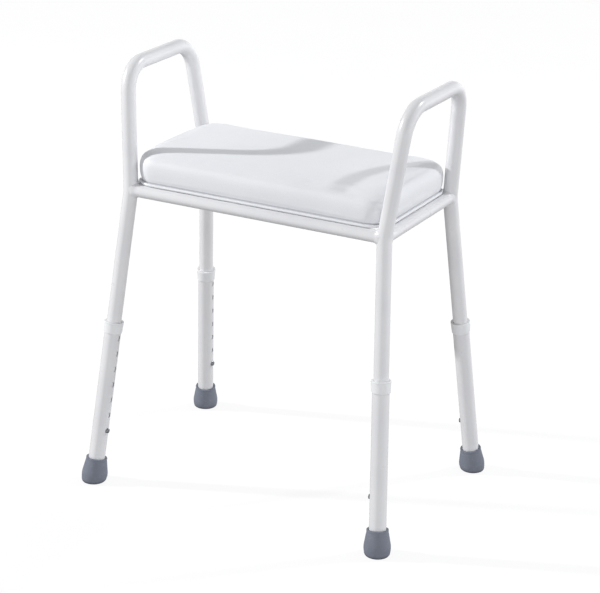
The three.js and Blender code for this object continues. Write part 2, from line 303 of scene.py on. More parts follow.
class Route:
    """A centreline of straight runs joined by arcs, read by the distance along it."""

    def __init__(self, corners, radii):
        self.runs = []
        self.length = 0.0
        start = corners[0]
        for before, corner, after, radius in zip(corners, corners[1:], corners[2:], radii):
            into = (corner - before).normalized()
            out = (after - corner).normalized()
            turn = into.angle(out)
            bend_start = corner - into * radius * math.tan(turn / 2)
            side = (out - into * out.dot(into)).normalized()
            self.add(start, into, (bend_start - start).length)
            self.add(bend_start, into, radius * turn, side, radius)
            start = corner + out * radius * math.tan(turn / 2)
        self.add(start, (corners[-1] - start).normalized(), (corners[-1] - start).length)

    def add(self, start, direction, length, side=None, radius=None):
        self.runs.append((self.length, length, start, direction, side, radius))
        self.length += length

    def at(self, distance):
        for offset, length, start, direction, side, radius in self.runs:
            if distance <= offset + length:
                break
        along = distance - offset
        if side is None:
            return start + direction * along, direction
        turn = along / radius
        point = start + direction * radius * math.sin(turn) + side * radius * (1 - math.cos(turn))
        return point, direction * math.cos(turn) + side * math.sin(turn)

    def stations(self, straight_step, bend_step):
        """Distances at which the route is sampled, closer together round the bends."""
        found = [0.0]
        for offset, length, _, _, side, _ in self.runs:
            count = max(1, math.ceil(length / (straight_step if side is None else bend_step)))
            found += [offset + length * (k + 1) / count for k in range(count)]
        return found

    def polyline(self):
        return np.array([self.at(d)[0] for d in self.stations(20 * MM, 2 * MM)])


def carried_frames(route, distances, normal):
    """Point, tangent, normal and binormal at each distance, with no twist between them."""
    frames = []
    previous = None
    for distance in distances:
        point, tangent = route.at(distance)
        if previous is not None:
            normal = previous.rotation_difference(tangent) @ normal
        previous = tangent
        frames.append((point, tangent, normal, tangent.cross(normal)))
    return frames


def perforated_tube(build, route, normal, outer, holes):
    """A hollow tube with round holes that face the carried normal."""
    inner = outer - TUBE_WALL
    cell = 2 * math.pi * outer / TUBE_SIDES
    patch = PATCH_CELLS * cell
    reach = patch + cell / 2
    distances = [d for d in route.stations(*TUBE_STEPS) if all(abs(d - h) > reach for h in holes)]
    distances += [h + k * cell for h in holes for k in range(-PATCH_CELLS, PATCH_CELLS + 1)]
    distances.sort()
    frames = carried_frames(route, distances, normal)
    turns = [2 * math.pi * k / TUBE_SIDES for k in range(TUBE_SIDES)]

    def ring(place, radius):
        point, _, across, other = place
        return build.loop(point + (across * math.cos(t) + other * math.sin(t)) * radius for t in turns)

    grids = [[ring(place, radius) for place in frames] for radius in (outer, inner)]
    centres = [min(range(len(distances)), key=lambda i: abs(distances[i] - h)) for h in holes]
    open_rows = {row for c in centres for row in range(c - PATCH_CELLS, c + PATCH_CELLS)}
    open_columns = {column % TUBE_SIDES for column in range(-PATCH_CELLS, PATCH_CELLS)}
    for grid in grids:
        for i, (first, second) in enumerate(zip(grid, grid[1:])):
            build.strip(first, second, open_columns if i in open_rows else ())
    for end, direction in ((0, -1), (-1, 1)):
        point, tangent, across, other = frames[end]
        moved = (point + tangent * direction * TUBE_END_ROUND, tangent, across, other)
        lip = [ring(moved, outer - TUBE_END_ROUND), ring(moved, inner + TUBE_END_ROUND)]
        build.loft([grids[0][end], *lip, grids[1][end]], caps=False)
    for centre in centres:
        drill(build, frames[centre], grids, centre, outer, inner, cell)


def drill(build, place, grids, centre, outer, inner, cell):
    """Fills the patch left open in both skins with a round hole through the wall."""
    point, tangent, across, other = place
    n = PATCH_CELLS
    edge = [(a, -n) for a in range(-n, n)] + [(n, b) for b in range(-n, n)]
    edge += [(a, n) for a in range(n, -n, -1)] + [(-n, b) for b in range(n, -n, -1)]
    angles = [math.atan2(b * cell, a * cell) for a, b in edge]
    bounds = [[grid[centre + a][b % TUBE_SIDES] for a, b in edge] for grid in grids]
    soft = HOLE_EDGE
    rings = [
        (HOLE_RADIUS + 3 * soft, outer), (HOLE_RADIUS + soft, outer),
        (HOLE_RADIUS + 0.3 * soft, outer - 0.3 * soft), (HOLE_RADIUS, outer - soft),
        (HOLE_RADIUS, inner + soft), (HOLE_RADIUS + soft, inner), (HOLE_RADIUS + 3 * soft, inner),
    ]
    loops = [bounds[0]]
    for hole, radius in rings:
        loop = []
        for angle in angles:
            turn = math.asin(hole * math.sin(angle) / radius)
            spoke = across * math.cos(turn) + other * math.sin(turn)
            loop.append(build.add(point + tangent * hole * math.cos(angle) + spoke * radius))
        loops.append(loop)
    loops.append(bounds[1])
    build.loft(loops, caps=False)


# ---- materials


def map_range(tree, source, limits):
    """Takes the source from between the first two limits to between the last two."""
    node = tree.nodes.new("ShaderNodeMapRange")
    for key, value in zip(("From Min", "From Max", "To Min", "To Max"), limits):
        node.inputs[key].default_value = value
    tree.links.new(source, node.inputs["Value"])
    return node.outputs["Result"]


def mix_colours(tree, factor, first, second):
    node = tree.nodes.new("ShaderNodeMix")
    node.data_type = "RGBA"
    tree.links.new(factor, node.inputs["Factor"])
    for key, value in (("A", first), ("B", second)):
        socket = next(s for s in node.inputs if s.name == key and s.type == "RGBA")
        if isinstance(value, tuple):
            socket.default_value = (*value, 1.0)
        else:
            tree.links.new(value, socket)
    return next(s for s in node.outputs if s.type == "RGBA")


class Look:
    """A material whose colour, roughness and relief come from nodes."""

    def __init__(self, name):
        self.material = bpy.data.materials.new(name)
        self.material.use_nodes = True
        self.tree = self.material.node_tree
        self.shader = self.tree.nodes["Principled BSDF"]
        self.place = self.tree.nodes.new("ShaderNodeTexCoord").outputs["Object"]

    def link(self, source, target):
        self.tree.links.new(source, target)

    def node(self, kind, **inputs):
        node = self.tree.nodes.new(f"ShaderNode{kind}")
        for name, value in inputs.items():
            node.inputs[name].default_value = value
        return node

    def stretched(self, *scale):
        node = self.node("Mapping", Scale=scale)
        self.link(self.place, node.inputs["Vector"])
        return node.outputs["Vector"]

    def noise(self, scale, detail=3.0, roughness=0.5, place=None):
        node = self.node("TexNoise", Scale=scale, Detail=detail, Roughness=roughness)
        self.link(place or self.place, node.inputs["Vector"])
        return node.outputs["Fac"]

    def cells(self, scale, feature="F1"):
        node = self.node("TexVoronoi", Scale=scale)
        node.feature = feature
        self.link(self.place, node.inputs["Vector"])
        return node.outputs["Distance"]

    def height(self):
        node = self.node("SeparateXYZ")
        self.link(self.place, node.inputs["Vector"])
        return node.outputs["Z"]

    def spread(self, source, *limits):
        return map_range(self.tree, source, limits)

    def combine(self, operation, first, second):
        node = self.node("Math")
        node.operation = operation
        for socket, value in zip(node.inputs, (first, second)):
            if isinstance(value, (int, float)):
                socket.default_value = value
            else:
                self.link(value, socket)
        return node.outputs["Value"]

    def mix(self, factor, first, second):
        return mix_colours(self.tree, factor, first, second)

    def tint(self, source, low, high, first, second):
        """Runs from the first colour to the second as the source rises from low to high."""
        return self.mix(self.spread(source, low, high, 0.0, 1.0), first, second)

    def relief(self, source, strength, distance, under=None):
        node = self.node("Bump", Strength=strength, Distance=distance)
        self.link(source, node.inputs["Height"])
        if under is not None:
            self.link(under, node.inputs["Normal"])
        return node.outputs["Normal"]

    def finish(self, colour, roughness, normal, **sockets):
        self.link(colour, self.shader.inputs["Base Color"])
        self.link(roughness, self.shader.inputs["Roughness"])
        self.link(normal, self.shader.inputs["Normal"])
        for name, value in sockets.items():
            self.shader.inputs[name.replace("_", " ")].default_value = value
        return self.material


def coating(name, clean, shaded, scuffed):
    """White powder coat: fine orange peel, cloudy gloss, and scuffs where it rubs."""
    look = Look(name)
    tint = look.tint(look.noise(14.0, 2.0), 0.35, 0.65, clean, shaded)
    streaks = look.noise(9.0, 6.0, 0.7, look.stretched(60.0, 60.0, 4.0))
    marks = look.spread(streaks, 0.66, 0.78, 0.0, scuffed)
    colour = look.mix(marks, tint, (0.52, 0.51, 0.5))
    gloss = look.spread(look.noise(40.0), 0.3, 0.7, 0.27, 0.36)
    rough = look.combine("ADD", gloss, look.combine("MULTIPLY", marks, 0.3))
    peel = look.relief(look.noise(700.0, 2.0), 0.12, 0.0003)
    normal = look.relief(streaks, 0.04, 0.0003, peel)
    return look.finish(colour, rough, normal, Coat_Weight=0.3, Coat_Roughness=0.12)


def moulded_plastic():
    look = Look("collar_plastic")
    colour = look.tint(look.noise(22.0), 0.35, 0.7, (0.88, 0.88, 0.885), (0.82, 0.82, 0.835))
    rough = look.spread(look.noise(160.0), 0.3, 0.7, 0.4, 0.52)
    spark = look.relief(look.noise(1500.0, 2.0), 0.25, 0.0002)
    return look.finish(colour, rough, spark, Subsurface_Weight=0.03)


def rubber():
    """Blue-grey moulded rubber, paler where dust has settled into its pores, with painted shade where it
    meets the floor.
    """
    look = Look("tip_rubber")
    pores = look.noise(260.0, 4.0, 0.6)
    body = look.tint(look.noise(30.0, 4.0), 0.3, 0.7, (0.165, 0.184, 0.232), (0.195, 0.214, 0.262))
    dust = look.spread(pores, 0.55, 0.75, 0.0, 0.35)
    colour = look.mix(dust, body, (0.33, 0.34, 0.37))
    # Painted shade: the lowest 6 mm of the tip, where it meets the floor, is darkened towards near
    # black.
    painted_floor_shade = look.spread(look.height(), 0.0, 6 * MM, 0.75, 0.0)
    colour = look.mix(painted_floor_shade, colour, (0.035, 0.038, 0.05))
    rough = look.spread(pores, 0.3, 0.7, 0.55, 0.75)
    normal = look.relief(pores, 0.25, 0.0004)
    return look.finish(colour, rough, normal, Specular_IOR_Level=0.4)


def bare_metal(name, bright, dark, low, high):
    look = Look(name)
    brushed = look.noise(40.0, 5.0, 0.6, look.stretched(40.0, 8.0, 8.0))
    colour = look.tint(brushed, 0.3, 0.7, bright, dark)
    rough = look.spread(look.noise(120.0, 4.0), 0.3, 0.7, low, high)
    normal = look.relief(brushed, 0.08, 0.0002)
    return look.finish(colour, rough, normal, Metallic=1.0)


def vinyl(name, grain_size):
    """Soft white vinyl with a pebbled grain, faint stretch marks, and a painted shade line along the
    seam.
    """
    look = Look(name)
    clean = look.tint(look.noise(7.0, 3.0), 0.35, 0.65, (0.83, 0.84, 0.865), (0.79, 0.8, 0.83))
    pebbles = look.cells(1 / grain_size, "SMOOTH_F1")
    creases = look.spread(pebbles, 0.35, 0.75, 0.0, 0.22)
    colour = look.mix(creases, clean, (0.68, 0.69, 0.72))
    # Painted shade: a thin dark line at the seam's height, where the cover meets its piping, stands in
    # for the shade in the seam.
    from_seam = look.combine("ABSOLUTE", look.combine("SUBTRACT", look.height(), SEAM_Z), 0.0)
    colour = look.mix(look.spread(from_seam, 0.5 * MM, 1.3 * MM, 0.5, 0.0), colour, (0.3, 0.3, 0.33))
    rough = look.spread(look.noise(60.0, 3.0), 0.3, 0.7, 0.4, 0.52)
    stretch = look.noise(18.0, 4.0, 0.55)
    normal = look.relief(pebbles, 0.22, 0.00035)
    normal = look.relief(stretch, 0.12, 0.003, normal)
    return look.finish(colour, rough, normal, Sheen_Weight=0.08, Sheen_Roughness=0.4)


def foam():
    look = Look("seat_foam")
    bubbles = look.cells(1 / (1.4 * MM))
    colour = look.tint(bubbles, 0.2, 0.8, (0.84, 0.78, 0.58), (0.62, 0.55, 0.36))
    rough = look.spread(bubbles, 0.2, 0.8, 0.85, 0.98)
    return look.finish(colour, rough, look.relief(bubbles, 0.8, 0.001))


def plywood():
    look = Look("seat_plywood")
    grain = look.noise(30.0, 6.0, 0.65, look.stretched(0.6, 9.0, 30.0))
    fibres = look.noise(220.0, 3.0, 0.6, look.stretched(0.4, 8.0, 8.0))
    board = look.tint(grain, 0.3, 0.7, (0.56, 0.39, 0.22), (0.4, 0.255, 0.13))
    colour = look.mix(look.spread(fibres, 0.5, 0.75, 0.0, 0.5), board, (0.27, 0.16, 0.08))
    rough = look.spread(grain, 0.3, 0.7, 0.55, 0.72)
    return look.finish(colour, rough, look.relief(fibres, 0.3, 0.0004))


COAT_SHADE = (0.755, 0.755, 0.775)
LOOKS = {
    "frame_coating": coating("frame_coating", (0.8, 0.8, 0.815), COAT_SHADE, 0.07),
    "leg_coating": coating("leg_coating", (0.79, 0.79, 0.805), COAT_SHADE, 0.3),
    "collar_plastic": moulded_plastic(),
    "tip_rubber": rubber(),
    "zinc_steel": bare_metal("zinc_steel", (0.62, 0.63, 0.65), (0.45, 0.46, 0.48), 0.25, 0.4),
    "button_steel": bare_metal("button_steel", (0.34, 0.35, 0.37), (0.2, 0.21, 0.23), 0.14, 0.24),
    "spring_steel": bare_metal("spring_steel", (0.2, 0.21, 0.23), (0.12, 0.12, 0.14), 0.3, 0.45),
    "seat_vinyl": vinyl("seat_vinyl", 1.3 * MM),
    "piping_vinyl": vinyl("piping_vinyl", 0.8 * MM),
    "seat_foam": foam(),
    "seat_plywood": plywood(),
}


def place(build, node, slot, body, sharp=38):
    """Makes the piece that stands for a CAD node and lets it ride on its body."""
    return settle(build.object(f"{node}_finished", LOOKS[slot], sharp), slot, body, node)


def dress(piece, slot):
    piece.data.materials.clear()
    piece.data.materials.append(LOOKS[slot])


def settle(piece, slot, body, replaced=None):
    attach(piece, body)
    if replaced:
        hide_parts(replaced)
    return piece


def softened_copy(name, slot, width):
    """A frame piece that keeps its CAD node's shape and gets edges rounded to that width."""
    node = frame["nodes"][name]
    piece = node.copy()
    piece.data = node.data.copy()
    piece.name = f"{name}_finished"
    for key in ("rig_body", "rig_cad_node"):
        del piece[key]
    piece.parent = None
    bpy.context.scene.collection.objects.link(piece)
    work = bmesh.new()
    work.from_mesh(piece.data)
    bmesh.ops.remove_doubles(work, verts=work.verts, dist=1e-6)
    edges = [e for e in work.edges if len(e.link_faces) == 2 and e.calc_face_angle() > math.radians(40)]
    bmesh.ops.bevel(work, geom=edges, offset=width, segments=2, affect="EDGES", profile=0.6)
    work.to_mesh(piece.data)
    work.free()
    tidy_mesh(piece.data, 50)
    dress(piece, slot)
    return settle(piece, slot, "frame", name)


# ---- frame tubes


def hoop_route(front, back):
    side = math.copysign(1, front.bend.x)
    ends = [corner.at(corner.span(corner.hoop)[1]) for corner in (front, back)]
    tops = [Vector((side * HOOP_TOP_X, y * HOOP_CORNER_Y, HOOP_TOP_Z)) for y in (-1, 1)]
    bends = [POST_BEND_RADIUS, HOOP_BEND_RADIUS, HOOP_BEND_RADIUS, POST_BEND_RADIUS]
    return Route([ends[0], front.bend, *tops, back.bend, ends[1]], bends)


HOOP_ROUTES = {front.hoop: hoop_route(front, back) for front, back in (
    (LEGS["fl"], LEGS["bl"]), (LEGS["fr"], LEGS["br"]),
)}


def make_hoops():
    for front in (LEGS["fl"], LEGS["fr"]):
        name, route = front.hoop, HOOP_ROUTES[front.hoop]
        hole = front.span(name)[1] - button_distance(front)
        build = Build()
        perforated_tube(build, route, front.inward, POST_RADIUS, [hole, route.length - hole])
        place(build, name, "frame_coating", "frame")


def clearance(points, obstacles):
    """Distance from each point to the nearest tube surface. An obstacle is (line, radius)."""
    nearest = np.full(len(points), np.inf)
    for line, radius in obstacles:
        for start, end in zip(line, line[1:]):
            run = end - start
            along = np.clip((points - start) @ run / (run @ run), 0, 1)
            gap = np.linalg.norm(points - (start + along[:, None] * run), axis=1) - radius
            nearest = np.minimum(nearest, gap)
    return nearest


# A rail's end, seen from the rail: how far the bead swells and how close it comes.
BEAD = [(0.0, 8.0), (0.0, 4.4), (0.3, 3.2), (0.8, 2.2), (1.4, 1.3), (1.9, 0.5), (2.1, -0.35)]
BEAD_SIDES = 96
BEAD_RIPPLES = 26
BEAD_UNEVEN = (0.12, 0.3)  # ripples and lumps, in millimetres
WIDEST_SIDE = 10.5 * MM
HALVINGS = 26  # steps of the search for the place where a bead stops


def bead_loops(build, centre, direction, reach, obstacles, seed):
    """Loops of a rail's end, which swells into a welded bead against the tubes it meets."""
    sideways = direction.cross(UP)
    along = np.array(direction)
    loops = []
    for swell, gap in BEAD:
        starts = []
        for k in range(BEAD_SIDES):
            turn = 2 * math.pi * k / BEAD_SIDES
            lumps = noise.noise(Vector((3 * math.cos(turn), 3 * math.sin(turn), seed)))
            ripple = math.sin(BEAD_RIPPLES * turn + seed) * BEAD_UNEVEN[0] + BEAD_UNEVEN[1] * lumps
            radius = RAIL_RADIUS + (swell + (ripple if swell else 0)) * MM
            across = max(-WIDEST_SIDE, min(WIDEST_SIDE, radius * math.sin(turn)))
            starts.append(centre + UP * radius * math.cos(turn) + sideways * across)
        near, far = np.zeros(BEAD_SIDES), np.full(BEAD_SIDES, reach)
        base = np.array(starts)
        for _ in range(HALVINGS):
            half = (near + far) / 2
            free = clearance(base + half[:, None] * along, obstacles) > gap * MM
            near = np.where(free, half, near)
            far = np.where(free, far, half)
        loops.append(build.loop(base + near[:, None] * along))
    return loops


def make_rails():
    routes = {name: route.polyline() for name, route in HOOP_ROUTES.items()}
    long_rails = [np.array([LEGS[a].bend, LEGS[b].bend]) for a, b in (("fl", "fr"), ("bl", "br"))]
    rails = {
        "front_rail": ("fl", "fr"), "back_rail": ("bl", "br"),
        "left_rail": ("fl", "bl"), "right_rail": ("fr", "br"),
    }
    for number, (name, (first, last)) in enumerate(rails.items()):
        start, end = LEGS[first].bend, LEGS[last].bend
        centre = (start + end) / 2
        reach = (end - start).length / 2
        obstacles = [(line, POST_RADIUS) for line in routes.values()]
        if name in ("left_rail", "right_rail"):
            obstacles += [(line, RAIL_RADIUS) for line in long_rails]
        build = Build()
        halves = []
        for side, seed in ((-1, number), (1, number + 0.5)):
            direction = (end - start).normalized() * side
            loops = bead_loops(build, centre, direction, reach, obstacles, seed)
            if side < 0:  # the two ends are drawn mirrored, so one is turned to match
                loops = [[loop[-k % BEAD_SIDES] for k in range(BEAD_SIDES)] for loop in loops]
            halves.append(loops)
        build.loft(halves[0][::-1] + halves[1])
        place(build, name, "frame_coating", "frame")


# ---- legs


def make_leg(corner):
    start, end = corner.span(f"lower_leg_{corner.name}")
    route = Route([corner.at(start), corner.at(end)], [])
    button = button_distance(corner) - start
    build = Build()
    holes = [button - k * HOLE_PITCH for k in range(HOLE_COUNT)]
    perforated_tube(build, route, corner.inward, LEG_RADIUS, holes)
    place(build, f"lower_leg_{corner.name}", "leg_coating", corner.leg)


def make_collar(corner):
    """A moulded collar: a slight taper, a soft top rim, a bevelled foot and a bore that steps in."""
    top, bottom = corner.span(f"leg_collar_{corner.name}")
    height = bottom - top
    leg_top = bottom - corner.span(f"lower_leg_{corner.name}")[0]
    on_leg, on_post = LEG_RADIUS + 0.25 * MM, POST_RADIUS + 0.15 * MM
    lip = height - COLLAR["lip"]
    outline = [
        (on_leg, 0.4 * MM, 0.2 * MM),
        (COLLAR["bottom"] - 0.3 * MM, 0.0, 0.25 * MM),
        (COLLAR["bottom"], 1.0 * MM, 0.5 * MM),
        (COLLAR["top"] - 0.25 * MM, lip, 0.2 * MM),
        (COLLAR["top"], lip + 0.35 * MM, 0.2 * MM),
        (COLLAR["top"], height, 0.8 * MM),
        (on_post, height, 0.15 * MM),
        (on_post, leg_top + 0.3 * MM, 0.1 * MM),
        (on_leg, leg_top + 0.3 * MM, 0.1 * MM),
    ]
    build = Build()
    revolve(build, softened(outline, 0.3 * MM, closed=True), corner.at(bottom), corner.up, closed=True)
    place(build, f"leg_collar_{corner.name}", "collar_plastic", corner.leg, sharp=50)


def make_tip(corner):
    """A moulded tip: it stands level on the floor, and leans over into line with the leg."""
    name = f"foot_tip_{corner.name}"
    top = corner.at(corner.span(name)[0]).z - 1.5 * MM
    washer_foot = corner.span(f"foot_washer_{corner.name}")[1]
    socket = corner.at(washer_foot + 0.3 * MM).z
    groove = TIP["groove"]
    outline = [
        (0, groove), (5 * MM, groove), (5.6 * MM, 0), (8.4 * MM, 0), (9 * MM, groove),
        (11.4 * MM, groove), (12 * MM, 0), (TIP["foot"] - 2 * MM, 0, 1.2 * MM),
        (TIP["foot"], 2.2 * MM, 1.5 * MM),
        (TIP["wide"], 12 * MM, 5 * MM),
        (TIP["neck"] + 0.5 * MM, top - 6 * MM, 1.5 * MM),
        (TIP["neck"], top - 4.4 * MM, 0.5 * MM),
        (TIP["neck"] + 0.25 * MM, top, 1.1 * MM),
        (TIP["mouth"], top, 0.7 * MM),
        (LEG_RADIUS + 0.1 * MM, top - 1.4 * MM, 0.5 * MM),
        (LEG_RADIUS + 0.1 * MM, socket, 0.3 * MM),
        (0, socket),
    ]
    build = Build()
    loops = []
    inside = False
    previous = -1.0
    for radius, z in softened(outline, 0.35 * MM, steps=5):
        inside = inside or (z < previous and z > 20 * MM and radius < TIP["neck"])
        previous = z
        lean = 1.0 if inside else min(1.0, max(0.0, z / TIP["upright"]))
        axis = UP.lerp(corner.up, lean * lean * (3 - 2 * lean)).normalized()
        centre = corner.at((z - RAIL_Z) / corner.down.z)
        if radius < ON_AXIS:
            loops.append([build.add(centre)])
            continue
        side = (RIGHT - axis * RIGHT.dot(axis)).normalized()
        loops.append(circle_loop(build, centre, axis, side, radius, 64))
    build.loft(loops, caps=False)
    place(build, name, "tip_rubber", corner.leg, sharp=60)


def make_washer(corner):
    name = f"foot_washer_{corner.name}"
    top, bottom = corner.span(name)
    thick = bottom - top
    bore, rim = WASHER["bore"], WASHER["rim"]
    outline = softened([(bore, 0), (rim, 0), (rim, thick), (bore, thick)], 0.3 * MM, 3, closed=True)
    build = Build()
    revolve(build, outline, corner.at(bottom), corner.up, 48, closed=True)
    place(build, name, "zinc_steel", corner.leg)


def make_button(corner):
    """The domed pin, with a flange that stops against the inside of the post."""
    outline = [
        (0, BUTTON["flange_in"]),
        (BUTTON["flange"], BUTTON["flange_in"], 0.3 * MM),
        (BUTTON["flange"], BUTTON["flange_out"], 0.3 * MM),
        (BUTTON["pin"], BUTTON["flange_out"], 0.1 * MM),
        (BUTTON["pin"], BUTTON["reach"] - 0.2 * MM, 2.4 * MM),
        (2.0 * MM, BUTTON["reach"], 1.5 * MM),
        (0, BUTTON["reach"]),
    ]
    build = Build()
    revolve(build, softened(outline, 0.3 * MM, 8), corner.at(button_distance(corner)), corner.inward, 40)
    place(build, f"snap_button_{corner.name}", "button_steel", f"button_{corner.name}", sharp=60)


def make_spring(corner):
    """The leaf spring keeps its CAD node's shape, with its edges rounded."""
    piece = softened_copy(f"button_spring_{corner.name}", "spring_steel", SPRING["edge"])
    anchor = corner.at(button_distance(corner)) + corner.inward * SPRING["back"]
    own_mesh(piece)


# ---- seat

SEAT_LOW, SEAT_HIGH = (Vector(corner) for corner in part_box("seat_cover"))
SEAT_X, SEAT_Y = SEAT_HIGH.x, SEAT_HIGH.y
SEAT_CORNER = 35 * MM
BOARD_FOOT = SEAT_LOW.z + 0.8 * MM
BOARD_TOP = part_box("seat_board")[1][2]


def seat_outline(inset, z, per_corner=12):
    return rounded_rectangle(SEAT_X - inset, SEAT_Y - inset, SEAT_CORNER - inset, z, per_corner)


def seat_loop(build, inset, z):
    return build.loop(seat_outline(inset, z))


def seat_route(inset, z, start_x, end_x):
    """A line round the seat at that inset, from one point in the middle of the back to another."""
    x, y = SEAT_X - inset, SEAT_Y - inset
    corners = [(start_x, y), (-x, y), (-x, -y), (x, -y), (x, y), (end_x, y)]
    return Route([Vector((px, py, z)) for px, py in corners], [SEAT_CORNER - inset] * 4)


# The pad's side before it is inflated: inset from the widest line and height.
PAD_PROFILE = [
    (BASE_INSET, -8 * MM), (BASE_INSET, 5 * MM), (3.4 * MM, 8 * MM), (1.5 * MM, 13 * MM),
    (0.8 * MM, 20 * MM), (0.8 * MM, 28 * MM), (1.9 * MM, 34.5 * MM), (4.9 * MM, 40 * MM),
    (10 * MM, 43.8 * MM), (18 * MM, 45.8 * MM), (30 * MM, 46.6 * MM),
]
PAD_VOXEL = 4.5 * MM
PAD_RISE = 2.6 * MM
PAD_BULGE = 1.2 * MM
PAD_CROWN = 3.0 * MM
PAD_BELLY = 3.2 * MM
PAD_ARCH = 2.2 * MM
PAD_CORNER_DROP = 3.5 * MM
PAD_UNEVEN = 0.5 * MM
PAD_SINK = 0.25  # the foam pushes back where the stretched cover draws in
CLOTH = {"pressure": 4.0, "quality": 6, "frames": 20, "held_below": 7 * MM}


def apply_modifiers(piece):
    graph = bpy.context.evaluated_depsgraph_get()
    old, piece.data = piece.data, bpy.data.meshes.new_from_object(piece.evaluated_get(graph))
    piece.modifiers.clear()
    bpy.data.meshes.remove(old)


def inflate(piece):
    """Blows the cover up like a cloth bag held at its foot, and limits how far it moves."""
    remesh = piece.modifiers.new("even", "REMESH")
    remesh.mode = "VOXEL"
    remesh.voxel_size = PAD_VOXEL
    apply_modifiers(piece)
    rest = np.array([v.co for v in piece.data.vertices])
    held = piece.vertex_groups.new(name="held")
    foot = SEAT_LOW.z + CLOTH["held_below"]
    held.add([v.index for v in piece.data.vertices if v.co.z < foot], 1.0, "REPLACE")
    cloth = piece.modifiers.new("inflate", "CLOTH")
    cloth.settings.use_pressure = True
    cloth.settings.uniform_pressure_force = CLOTH["pressure"]
    cloth.settings.vertex_group_mass = "held"
    cloth.settings.effector_weights.gravity = 0.0
    cloth.settings.quality = CLOTH["quality"]
    cloth.point_cache.frame_end = CLOTH["frames"]
    for step in range(CLOTH["frames"]):
        bpy.context.scene.frame_set(step + 1)
    graph = bpy.context.evaluated_depsgraph_get()
    swollen = piece.evaluated_get(graph).to_mesh()
    moved = np.array([v.co for v in swollen.vertices])
    piece.evaluated_get(graph).to_mesh_clear()
    piece.modifiers.clear()
    piece.vertex_groups.clear()
    bpy.context.scene.frame_set(1)
    shift = moved - rest
    # Foam limits the swelling: the crown may rise more than the sides bulge.
    limit = np.array([PAD_BULGE, PAD_BULGE, PAD_RISE])
    shift = limit * np.tanh(shift / limit)
    sinking = shift * np.sign(rest) < 0
    shift[sinking] *= PAD_SINK
    shift *= np.clip((rest[:, 2] - SEAT_LOW.z - 5 * MM) / (8 * MM), 0, 1)[:, None]
    # The pad is crowned, lower at its corners, and its ends belly out between the posts.
    to_end, to_front = rest[:, 0] / SEAT_X, rest[:, 1] / SEAT_Y
    belly = np.clip(1 - to_front ** 2, 0, 1)
    high = np.clip((rest[:, 2] - SEAT_LOW.z) / (SEAT_HIGH.z - SEAT_LOW.z), 0, 1)
    crown = belly * (PAD_CROWN + PAD_ARCH * to_end ** 4) - PAD_CORNER_DROP * to_end ** 6 * to_front ** 4
    shift[:, 2] += high ** 2 * crown
    shift[:, 0] += belly * high * to_end ** 3 * PAD_BELLY
    uneven = np.array([noise.noise(Vector(point) * 22) for point in rest])
    outward = rest / np.array([SEAT_X, SEAT_Y, SEAT_HIGH.z]) - np.array([0, 0, 0.93])
    outward /= np.linalg.norm(outward, axis=1)[:, None]
    shift += outward * (uneven * high * PAD_UNEVEN)[:, None]
    piece.data.vertices.foreach_set("co", (rest + shift).ravel())
    piece.data.update()


def pull_in_corners(piece):
    """Faint gathers where the vinyl is pulled round the corners to the board."""
    corner_x, corner_y = SEAT_X - SEAT_CORNER, SEAT_Y - SEAT_CORNER
    for vertex in piece.data.vertices:
        x, y = abs(vertex.co.x) - corner_x, abs(vertex.co.y) - corner_y
        rise = (vertex.co.z - SEAT_LOW.z) / (30 * MM)
        if min(x, y) < 0 or not 0 < rise < 1:
            continue
        turn = math.atan2(y, x)
        fade = math.sin(2 * turn) * (1 - rise) ** 2
        gather = math.sin(18 * turn + 2.0 * noise.noise(vertex.co * 30)) * 0.35 * MM * fade
        outward = Vector((math.copysign(x, vertex.co.x), math.copysign(y, vertex.co.y), 0)).normalized()
        vertex.co += outward * gather


def make_cover():
    build = Build()
    build.loft([seat_loop(build, inset, SEAT_LOW.z + z) for inset, z in PAD_PROFILE])
    piece = build.object("seat_cover_finished", LOOKS["seat_vinyl"], 180)
    inflate(piece)
    piece.modifiers.new("smooth", "SUBSURF").levels = 1
    apply_modifiers(piece)
    pull_in_corners(piece)
    work = bmesh.new()
    work.from_mesh(piece.data)
    everything = work.verts[:] + work.edges[:] + work.faces[:]
    foot = Vector((0, 0, SEAT_LOW.z + 0.2 * MM))
    bmesh.ops.bisect_plane(work, geom=everything, plane_co=foot, plane_no=(0, 0, 1), clear_inner=True)
    work.to_mesh(piece.data)
    work.free()
    shell = piece.modifiers.new("thickness", "SOLIDIFY")
    shell.thickness = VINYL
    shell.offset = -1
    apply_modifiers(piece)
    dress(piece, "seat_vinyl")
    tidy_mesh(piece.data, 60)
    settle(piece, "seat_vinyl", "frame", "seat_cover")


def make_foam():
    """The foam block has the cover's form, a little smaller, and stands on the board."""
    build = Build()
    smaller = 4 * MM
    foot = BOARD_TOP + 0.3 * MM
    profile = [(BASE_INSET + 2.5 * MM, foot)]
    profile += [(inset + smaller, SEAT_LOW.z + z - smaller) for inset, z in PAD_PROFILE if z > 15 * MM]
    build.loft([seat_loop(build, inset, z) for inset, z in profile])
    piece = place(build, "seat_foam", "seat_foam", "frame", sharp=60)


def make_piping():
    """The welt: a cord wrapped in vinyl, slightly uneven, butted in the middle of the back."""
    centre = middle("seat_piping")
    inset = SEAT_X - (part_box("seat_piping")[1][0] - PIPING_RADIUS)
    route = seat_route(inset, centre.z, -0.3 * MM, 0.3 * MM)
    build = Build()
    loops = []
    for distance in route.stations(3 * MM, 2.5 * MM):
        point, tangent = route.at(distance)
        uneven = 1 + 0.035 * noise.noise(Vector((distance * 45, 0, 0)))
        drift = UP * 0.15 * MM * noise.noise(Vector((distance * 9, 5, 0)))
        loops.append(circle_loop(build, point + drift, tangent, UP, PIPING_RADIUS * 0.97 * uneven, 16))
    build.loft(loops)
    place(build, "seat_piping", "piping_vinyl", "frame")


